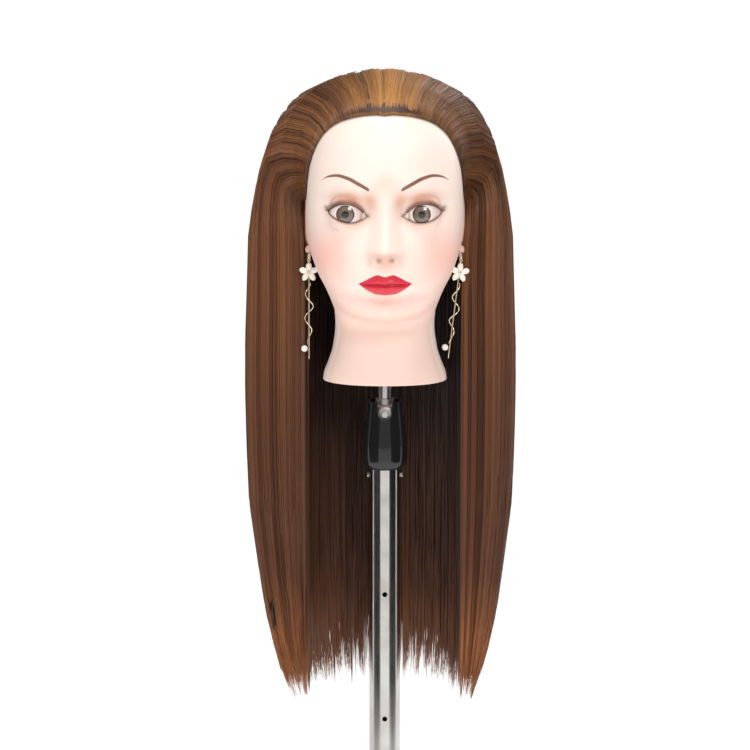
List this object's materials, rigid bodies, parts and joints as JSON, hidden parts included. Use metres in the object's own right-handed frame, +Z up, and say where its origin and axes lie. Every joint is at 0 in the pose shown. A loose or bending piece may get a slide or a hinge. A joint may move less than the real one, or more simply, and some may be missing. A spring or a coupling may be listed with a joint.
{
  "type": "mannequin training head",
  "caption": "Hairdressing practice head with long rooted hair and drop earrings, on a tilting, turning holder and a telescopic folding tripod.",
  "frame": {"origin": "on the floor, in the middle of the tripod's footprint; the column stands 97 mm behind it", "axes": "+Z up along the column; the face looks along -Y; the wearer's left is at +X"},
  "size_m": [0.702, 0.6095, 1.1146],
  "materials": {
    "vinyl_skin": "satin",
    "eye": "polished",
    "hair": "satin",
    "gold": "polished",
    "enamel": "gloss",
    "pearl": "gloss",
    "die_casting": "satin",
    "black_gloss": "gloss",
    "steel": "polished",
    "chrome_tube": "polished",
    "black_moulded": "satin",
    "brass_pad": "satin",
    "black_paint": "satin",
    "rubber_foot": "matte"
  },
  "bodies": {
    "stand": {"outer_tube": "chrome_tube", "clamp_collar": "black_moulded", "guide_bush": "black_moulded", "bottom_hub": "black_moulded", "hub_pin_1": "steel", "hub_pin_2": "steel", "hub_pin_3": "steel"},
    "column": {"inner_tube": "chrome_tube", "top_bush": "black_moulded", "shank_screw_right": "steel", "shank_screw_left": "steel", "end_plug": "black_moulded"},
    "joint_base": {"joint_shank": "die_casting", "tilt_pin": "steel", "sleeve_spring": "steel"},
    "sleeve": {"lock_sleeve": "black_gloss"},
    "head": {"head_shell": "vinyl_skin", "eye_right": "eye", "eye_left": "eye", "neck_plate": "vinyl_skin", "neck_socket": "black_moulded", "head_rod": "steel", "tilt_knuckle": "die_casting", "hair_crown": "hair", "hair_side_right": "hair", "hair_side_left": "hair", "stud_right": "gold", "stud_left": "gold"},
    "hair_lengths": {"hair_length_right": "hair", "hair_length_left": "hair", "hair_back_length": "hair"},
    "earring_right": {"link_right": "gold", "flower_right": "enamel", "drop_bar_right": "gold", "vine_right": "gold", "pearl_right": "pearl"},
    "earring_left": {"link_left": "gold", "flower_left": "enamel", "drop_bar_left": "gold", "vine_left": "gold", "pearl_left": "pearl"},
    "clamp_pad": {"clamp_pad": "brass_pad"},
    "clamp_knob": {"clamp_knob": "black_moulded", "clamp_screw": "steel"},
    "leg_ring": {"leg_ring": "black_moulded", "ring_pin_1": "steel", "ring_pin_2": "steel", "ring_pin_3": "steel"},
    "strut_1": {"strut_1": "black_paint", "strut_pin_1": "steel"},
    "leg_1": {"leg_1": "chrome_tube", "foot_1": "rubber_foot"},
    "strut_2": {"strut_2": "black_paint", "strut_pin_2": "steel"},
    "leg_2": {"leg_2": "chrome_tube", "foot_2": "rubber_foot"},
    "strut_3": {"strut_3": "black_paint", "strut_pin_3": "steel"},
    "leg_3": {"leg_3": "chrome_tube", "foot_3": "rubber_foot"}
  },
  "joints": [
    {"name": "height_slide", "type": "slide", "parent": "stand", "child": "column", "axis": [0, 0, 1], "range_m": [-0.165, 0.1]},
    {"name": "head_swivel", "type": "hinge", "parent": "column", "child": "joint_base", "pos_m": [0, 0.0967, 0.75013], "axis": [0, 0, 1], "continuous": true},
    {"name": "sleeve_slide", "type": "slide", "parent": "joint_base", "child": "sleeve", "axis": [0, 0, -1], "range_m": [0, 0.012], "stiffness_N_per_m": 500, "springref_m": -0.006, "deforming": ["sleeve_spring"]},
    {"name": "head_tilt", "type": "hinge", "parent": "joint_base", "child": "head", "pos_m": [0, 0.0967, 0.80114], "axis": [0, 1, 0], "range_deg": [-20, 20]},
    {"name": "hair_hang", "type": "hinge", "parent": "head", "child": "hair_lengths", "pos_m": [0, 0.0967, 0.80114], "axis": [0, 1, 0], "range_deg": [-20, 20]},
    {"name": "earring_right_swing", "type": "hinge", "parent": "head", "child": "earring_right", "pos_m": [-0.069, 0.08969, 0.94383], "axis": [-1, 0, 0], "range_deg": [0, 40]},
    {"name": "earring_left_swing", "type": "hinge", "parent": "head", "child": "earring_left", "pos_m": [0.069, 0.08969, 0.94383], "axis": [-0.9925, 0, 0.1219], "range_deg": [0, 40]},
    {"name": "clamp_pad_slide", "type": "slide", "parent": "stand", "child": "clamp_pad", "axis": [0, -1, 0], "range_m": [0, 0.00225]},
    {"name": "clamp_knob_turn", "type": "hinge", "parent": "clamp_pad", "child": "clamp_knob", "pos_m": [0, 0.0967, 0.45714], "axis": [0, -1, 0], "range_deg": [0, 540]},
    {"name": "strut_1_fold", "type": "hinge", "parent": "stand", "child": "strut_1", "pos_m": [0, 0.0623, 0.07713], "axis": [-1, 0, 0], "range_deg": [0, 42]},
    {"name": "leg_1_fold", "type": "hinge", "parent": "strut_1", "child": "leg_1", "pos_m": [0, -0.06793, 0.18641], "axis": [-1, 0, 0], "range_deg": [-84, 0]},
    {"name": "strut_2_fold", "type": "hinge", "parent": "stand", "child": "strut_2", "pos_m": [0.02979, 0.11389, 0.07713], "axis": [0.5, -0.866, 0], "range_deg": [0, 42]},
    {"name": "leg_2_fold", "type": "hinge", "parent": "strut_2", "child": "leg_2", "pos_m": [0.14257, 0.17901, 0.18641], "axis": [0.5, -0.866, 0], "range_deg": [-84, 0]},
    {"name": "strut_3_fold", "type": "hinge", "parent": "stand", "child": "strut_3", "pos_m": [-0.02979, 0.11389, 0.07713], "axis": [0.5, 0.866, 0], "range_deg": [0, 42]},
    {"name": "leg_3_fold", "type": "hinge", "parent": "strut_3", "child": "leg_3", "pos_m": [-0.14257, 0.17901, 0.18641], "axis": [0.5, 0.866, 0], "range_deg": [-84, 0]},
    {"name": "leg_ring_level", "type": "hinge", "parent": "leg_1", "child": "leg_ring", "pos_m": [0, 0.0623, 0.29568], "axis": [-1, 0, 0], "range_deg": [0, 42]}
  ],
  "couplings": [
    {"joint": "hair_hang", "follows": "head_tilt", "ratio": -1},
    {"joint": "clamp_knob_turn", "follows": "clamp_pad_slide", "rad_per_m": 4188.8},
    {"joint": "leg_1_fold", "follows": "strut_1_fold", "ratio": -2},
    {"joint": "strut_2_fold", "follows": "strut_1_fold", "ratio": 1},
    {"joint": "leg_2_fold", "follows": "strut_1_fold", "ratio": -2},
    {"joint": "strut_3_fold", "follows": "strut_1_fold", "ratio": 1},
    {"joint": "leg_3_fold", "follows": "strut_1_fold", "ratio": -2},
    {"joint": "leg_ring_level", "follows": "strut_1_fold", "ratio": 1}
  ]
}
